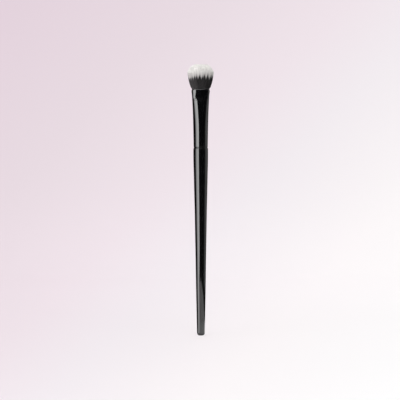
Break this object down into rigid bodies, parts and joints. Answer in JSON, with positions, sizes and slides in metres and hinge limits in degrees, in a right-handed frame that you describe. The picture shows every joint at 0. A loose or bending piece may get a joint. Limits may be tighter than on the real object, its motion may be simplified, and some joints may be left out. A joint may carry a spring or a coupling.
{
  "type": "eyeshadow brush",
  "caption": "Slim makeup brush: a fluffy flat-domed tuft with white tips over a dark root, a black ferrule pressed to a flat oval and a tapered black lacquered handle.",
  "frame": {"origin": "middle of the handle's butt end, which is the flat face that the brush stands on", "axes": "+Z runs along the brush to the tip of the hair; X is the wide way of the pressed ferrule and of the hair, Y the thin way, and -Y is the front"},
  "size_m": [0.0156, 0.0088, 0.16],
  "materials": {
    "birch": "matte",
    "black_lacquer": "gloss",
    "black_ferrule": "gloss",
    "adhesive": "satin",
    "epoxy": "gloss",
    "hair": "matte"
  },
  "bodies": {
    "root": {"handle_core": "birch", "handle_lacquer": "black_lacquer", "ferrule": "black_ferrule", "tenon_glue": "adhesive", "root_plug": "epoxy", "tuft": "hair"}
  },
  "joints": []
}
